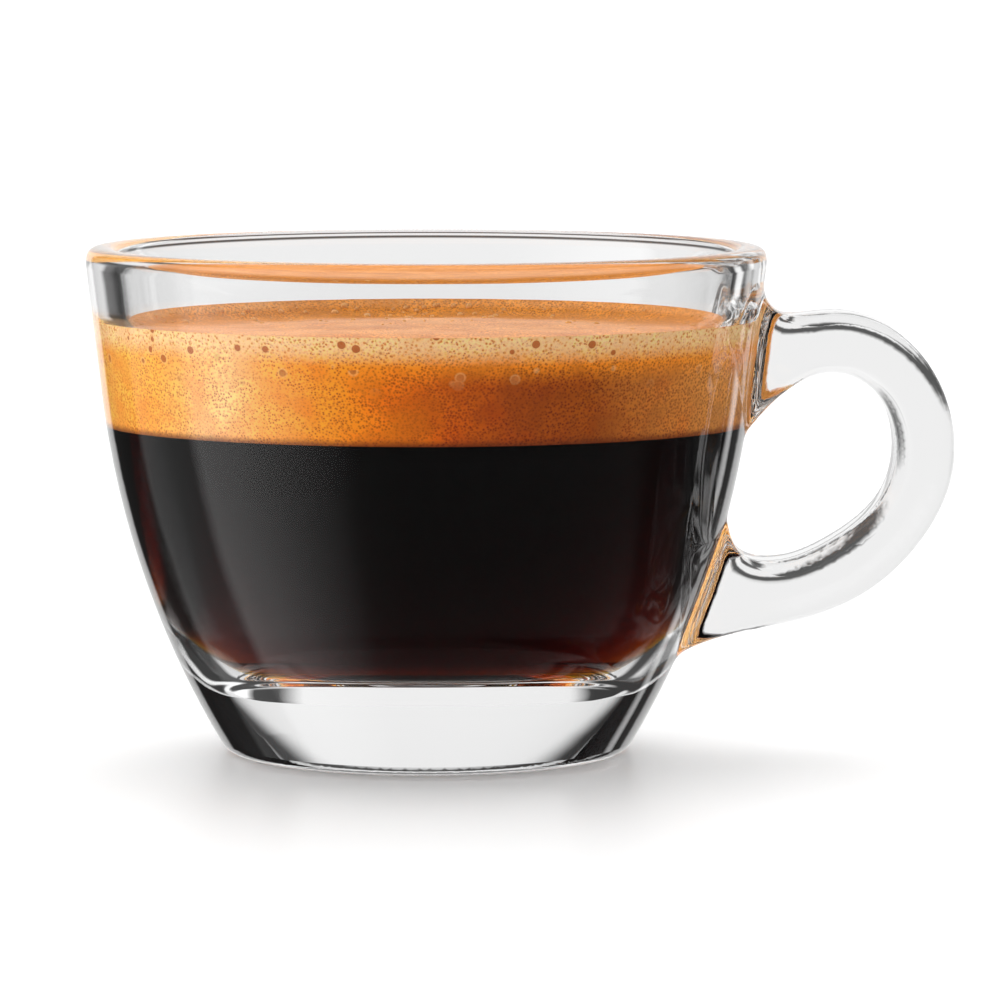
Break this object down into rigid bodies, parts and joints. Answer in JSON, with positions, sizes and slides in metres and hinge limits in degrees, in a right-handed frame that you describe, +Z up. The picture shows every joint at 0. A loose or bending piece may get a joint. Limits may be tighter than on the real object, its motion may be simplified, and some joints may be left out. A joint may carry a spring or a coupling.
{
  "type": "double espresso in a clear glass cup",
  "caption": "Thick-based clear glass cup with a flat-sided ring handle, filled with dark coffee under a deep layer of crema.",
  "frame": {"origin": "on the cup's axis, in the plane that its foot stands on", "axes": "+Z up along the cup's axis, +X towards the handle"},
  "size_m": [0.0974, 0.0764, 0.0569],
  "materials": {
    "glass": "clear pressed glass, fire-polished",
    "coffee": "still dark liquid",
    "crema": "fine golden-brown foam"
  },
  "bodies": {
    "root": {"glass_cup": "glass", "coffee": "coffee", "crema": "crema"}
  },
  "joints": []
}
